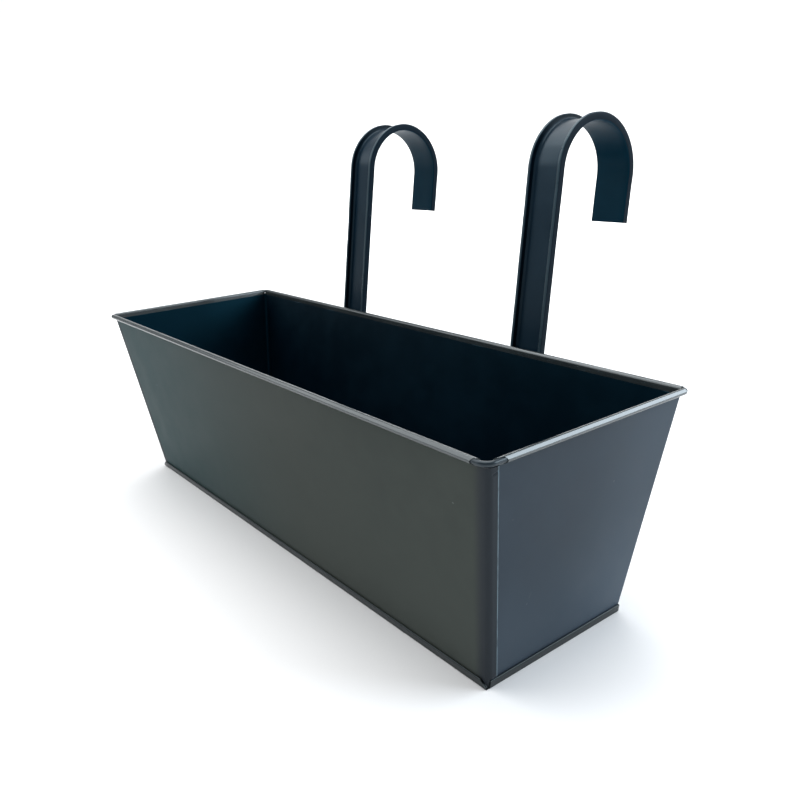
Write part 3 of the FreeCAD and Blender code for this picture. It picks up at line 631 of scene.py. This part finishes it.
def hook(label, hx, seed, skew):
    d = LONG.bead_n + BEAD + 0.8
    n1 = d + HD - HT
    rc = HB + HT
    nc = n1 + rc
    wc = (H_Z + nc * LONG.s) / LONG.c
    j1 = H_J0 + H_JR
    rj = (n1 * n1 + H_JR * H_JR) / (4.0 * n1)
    aj = math.degrees(math.asin(H_JR / 2.0 / rj))
    reach = HD - HT
    # stations: point, left normal, lip height
    st = []

    def line(p, q, count, lips):
        ln = math.hypot(q[0] - p[0], q[1] - p[1])
        nx, ny = -(q[1] - p[1]) / ln, (q[0] - p[0]) / ln
        for i in range(count + 1):
            t = i / count
            w = p[1] + (q[1] - p[1]) * t
            h = reach if lips == 1 else (0.0 if lips == 0 else reach * smooth01((w - H_LIP) / 6.0))
            st.append((p[0] + (q[0] - p[0]) * t, w, nx, ny, h))

    def arc(c, r, a0, a1, count, h):
        for i in range(1, count):
            a = math.radians(a0 + (a1 - a0) * i / count)
            sg = -1.0 if a1 > a0 else 1.0
            st.append((c[0] + r * math.cos(a), c[1] + r * math.sin(a), sg * math.cos(a), sg * math.sin(a), h))

    line((0.0, H_FOOT), (0.0, H_J0), 12, 0)
    arc((rj, H_J0), rj, 180.0, 180.0 - aj, 9, 0.0)
    arc((n1 - rj, j1), rj, -aj, 0.0, 9, 0.0)
    line((n1, j1), (n1, H_LIP + 7.0), 22, 2)
    line((n1, H_LIP + 10.0), (n1, wc), 40, 1)
    arc((nc, wc), rc, 180.0, 0.0, 84, reach)
    line((nc + rc, wc), (nc + rc, wc - H_TAIL), 10, 1)

    # cross-section, right half then mirrored: (x, e)
    R, r2, r3 = 0.8, 0.85, 1.9
    xo, xi = HW / 2.0, HW / 2.0 - HL
    half = [(0.0, -HT), (4.0, -HT), (8.0, -HT)]
    half += [(xo - R + R * math.sin(math.radians(a)), -HT + R - R * math.cos(math.radians(a))) for a in range(0, 91, 15)]
    half += [(xo - r2 + r2 * math.cos(math.radians(a)), reach - r2 + r2 * math.sin(math.radians(a))) for a in range(0, 91, 15)]
    half += [(xi + r2 - r2 * math.sin(math.radians(a)), reach - r2 + r2 * math.cos(math.radians(a))) for a in range(0, 91, 15)]
    half += [(xi - r3 + r3 * math.cos(math.radians(a)), r3 - r3 * math.sin(math.radians(a))) for a in range(0, 91, 15)]
    half += [(8.0, 0.0), (4.0, 0.0), (0.0, 0.0)]
    loop = half + [(-x, e) for x, e in reversed(half[1:-1])]
    m = Mesh()
    rings = []
    for (n, w, nx, ny, h) in st:
        ring = []
        run = w + n
        # hand-bent strip: a little out of line between leg and tail
        yb = LONG.pt(n, w)[0]
        t = smooth01((yb - 97.0) / 58.0)
        wx = nz(run / 24.0, 3.0, 0.0, seed) * 0.10
        wx = (wx + skew[0] + (skew[1] - skew[0]) * t) * smooth01((w - 86.0) / 60.0)
        for (x, e) in loop:
            if e > 0:
                e = e * (h / reach) * (1.0 + 0.05 * nz(run / 9.0, math.copysign(4.0, x), 0.0, seed))
            # the web is very slightly crowned
            if abs(x) < xi - 0.2 and h > 0:
                e += 0.10 * (1 - (x / xi) ** 2) * (h / reach) - 0.04
            nn, ww = n + nx * e, w + ny * e
            yy, zz = LONG.pt(nn, ww)
            ring.append((hx + x + wx, yy, zz))
        rings.append(ring)
    m.tube_loft(rings, closed=False, cap=True)
    yz_end = LONG.pt(nc + rc, wc - H_TAIL)
    yz_foot = LONG.pt(0.0, H_FOOT)

    def at_end(e):
        z = (e.verts[0].co.z + e.verts[1].co.z) * 500.0
        zz = [v.co.z * 1000.0 for v in e.verts]
        y = (e.verts[0].co.y + e.verts[1].co.y) * 500.0
        return (abs(z - yz_end[1]) < 1.2 and abs(y - yz_end[0]) < 4.0) or abs(z - yz_foot[1]) < 0.3

    o = m.build(label + "_strip", [HOOK_PAINT, HOOK_SIDE_SHADE, HOOK_BACK_LIT, HOOK_EDGE_HIGHLIGHT], 38.0, bevel=(0.00022, at_end))
    yc = LONG.pt(nc, wc)[0]
    for p in o.data.polygons:
        dy, dz = p.center.y * 1000.0 - yc, p.center.z * 1000.0 - H_Z
        if dz < 0.0:
            dz = 0.0
        inward = -(p.normal.y * dy + p.normal.z * dz) / max(1e-6, math.hypot(dy, dz))
        lean = smooth01((p.center.y * 1000.0 - 97.0) / 58.0)
        lean = (skew[0] + (skew[1] - skew[0]) * lean) * smooth01((p.center.z * 1000.0 - 86.0) / 60.0)
        out = abs(p.center.x * 1000.0 - hx - lean)
        # faces sorted by how light falls on them: a darker copy of the paint as painted shade on the sides, a lighter
        # copy as painted light on the inner faces
        p.material_index = 1 if abs(p.normal.x) > 0.8 else (2 if inward > 0.6 else 0)
        # a pale copy of the paint as painted highlight on the outward lip tops
        if inward < -0.5 and out > 11.0 and p.center.z > 0.093:
            p.material_index = 3
    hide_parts(label)
    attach(o, BODY)
    return o


hook("left_hook", -85.5, 5.0, (0.35, -1.7))
hook("right_hook", 105.0, 6.0, (0.0, 0.5))

# ------------------------------------------------------------------- the pan
def pan():
    """The CAD pan; at the near corner its end edge runs on over the hammered seam."""
    bpy.context.view_layer.update()
    src = frame["nodes"]["bottom_pan"]
    me = src.data.copy()
    me.name = "bottom_pan_folded"
    me.transform(src.matrix_world)
    for v in me.vertices:
        if v.co.x > 0.2015 and abs(v.co.y + 0.04585) < 0.00008:
            v.co.y = -0.0523 + (v.co.x - 0.2015) * 0.5
    me.materials.clear()
    me.materials.append(PAN_PAINT)
    me.update()
    o = bpy.data.objects.new("bottom_pan_folded", me)
    bpy.context.scene.collection.objects.link(o)
    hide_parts("bottom_pan")
    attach(o, BODY)
    return o


pan()

# ------------------------------------------------------ carried-over CAD node
o = frame["nodes"]["hook_rivets"]
if not o.material_slots:
    o.data.materials.append(HOOK_PAINT)
for s in o.material_slots:
    s.material = HOOK_PAINT


# --------------------------------------------------------------------- stage
def stage_material():
    mat, nt, bs = nodes_of("studio_paper")
    tc = nt.nodes.new("ShaderNodeTexCoord")
    n = noise_node(nt, tc.outputs["Object"], 2.0, 2.0, 0.5)
    col = mix_col(nt, n, (0.90, 0.905, 0.91), (0.93, 0.93, 0.93))
    nt.links.new(col, bs.inputs["Base Color"])
    bs.inputs["Roughness"].default_value = 0.9
    bs.inputs["Specular IOR Level"].default_value = 0.1
    return mat


def sweep_floor():
    """Paper floor that curves up into a far backdrop, square to the camera's direction."""
    fwd = Vector((-0.7909, 0.6120, 0.0)).normalized()
    side = Vector((fwd.y, -fwd.x, 0.0))
    prof = [(-4.0, 0.0)]
    far, rad = 3.2, 1.6
    prof += [(-4.0 + (far + 4.0) * i / 12.0, 0.0) for i in range(1, 13)]
    prof += [(far + rad * math.sin(math.radians(a)), rad - rad * math.cos(math.radians(a))) for a in range(5, 91, 5)]
    prof += [(far + rad, 5.0)]
    me = bpy.data.meshes.new("paper_sweep")
    vs, fs = [], []
    for k, s in enumerate((-6.0, -3.0, 0.0, 3.0, 6.0)):
        for (d, z) in prof:
            p = fwd * d + side * s
            vs.append((p.x, p.y, z))
    n = len(prof)
    for k in range(4):
        for j in range(n - 1):
            fs.append((k * n + j, k * n + j + 1, (k + 1) * n + j + 1, (k + 1) * n + j))
    me.from_pydata(vs, [], fs)
    me.materials.append(stage_material())
    for p in me.polygons:
        p.use_smooth = True
    o = bpy.data.objects.new("paper_sweep", me)
    bpy.context.scene.collection.objects.link(o)
    return o


sweep_floor()


def area(name, loc, target, size, power, color=(1, 1, 1), size_y=None):
    d = bpy.data.lights.new(name, "AREA")
    d.shape = "RECTANGLE"
    d.size = size
    d.size_y = size_y or size
    d.energy = power
    d.color = color
    o = bpy.data.objects.new(name, d)
    o.location = loc
    o.rotation_euler = (Vector(target) - Vector(loc)).to_track_quat("-Z", "Y").to_euler()
    bpy.context.scene.collection.objects.link(o)
    return o


area("soft_top", (-0.6, 0.2, 2.6), (-0.1, 0.1, 0.0), 2.7, 82.0, (1.0, 1.0, 1.0), 2.7)
area("soft_right", (1.40, 1.75, 1.15), (0.2, 0.0, 0.13), 2.0, 58.0, (0.86, 0.93, 1.0), 1.4)
area("soft_left", (-1.55, -1.45, 1.60), (0.0, -0.07, 0.13), 1.7, 20.0, (1.0, 1.0, 1.0), 1.7)
area("soft_back", (-1.2, 1.6, 2.2), (-2.9, 2.6, 0.8), 2.4, 120.0, (1.0, 1.0, 1.0), 1.4)

world = bpy.data.worlds.new("studio")
bpy.context.scene.world = world
world.use_nodes = True
bg = world.node_tree.nodes["Background"]
bg.inputs[0].default_value = (0.93, 0.97, 1.0, 1.0)
bg.inputs[1].default_value = 0.40

# -------------------------------------------------------------------- camera
cam_d = bpy.data.cameras.new("cam")
cam_d.sensor_fit = "HORIZONTAL"
cam_d.sensor_width = 36.0
cam_d.lens = 797.995 / 800.0 * 36.0
cam_d.clip_start = 0.01
cam_d.clip_end = 50.0
cam = bpy.data.objects.new("cam", cam_d)
bpy.context.scene.collection.objects.link(cam)
rx = Vector((0.62184754, 0.78210184, -0.04027828))
dn = Vector((0.21974273, -0.22362054, -0.94958253))
fw = Vector((-0.7516773, 0.58164471, -0.31091908))
rot = Matrix(((rx.x, -dn.x, -fw.x), (rx.y, -dn.y, -fw.y), (rx.z, -dn.z, -fw.z)))
cam.matrix_world = Matrix.Translation(Vector((0.44564497, -0.28958050, 0.26627663))) @ rot.to_4x4()
bpy.context.scene.camera = cam
bpy.context.scene.view_settings.view_transform = "Standard"
bpy.context.scene.view_settings.look = "None"
